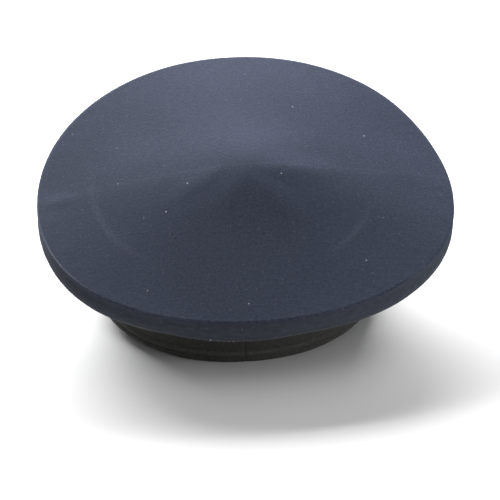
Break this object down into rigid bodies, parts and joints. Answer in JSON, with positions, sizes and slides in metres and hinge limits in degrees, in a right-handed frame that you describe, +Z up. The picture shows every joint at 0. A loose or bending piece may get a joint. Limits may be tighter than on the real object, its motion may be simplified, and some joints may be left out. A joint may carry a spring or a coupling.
{
  "type": "peaked cap",
  "caption": "Peaked cap with a wide soft oval crown that rises to the front, an upright rim strip, a plain dark band round the head and a plain stiff peak.",
  "frame": {"origin": "middle of the cap's box, on the surface that it rests on", "axes": "+Z up, the peak towards -Y, the wearer's left towards +X"},
  "size_m": [0.2572, 0.2878, 0.1221],
  "materials": {
    "crown_cloth": "fine matt navy wool cloth",
    "band_cloth": "matt black woven band",
    "peak_leather": "polished black leather"
  },
  "bodies": {
    "root": {"crown_top": "crown_cloth", "crown_rim": "crown_cloth", "crown_under": "crown_cloth", "band": "band_cloth", "peak": "peak_leather"}
  },
  "joints": []
}
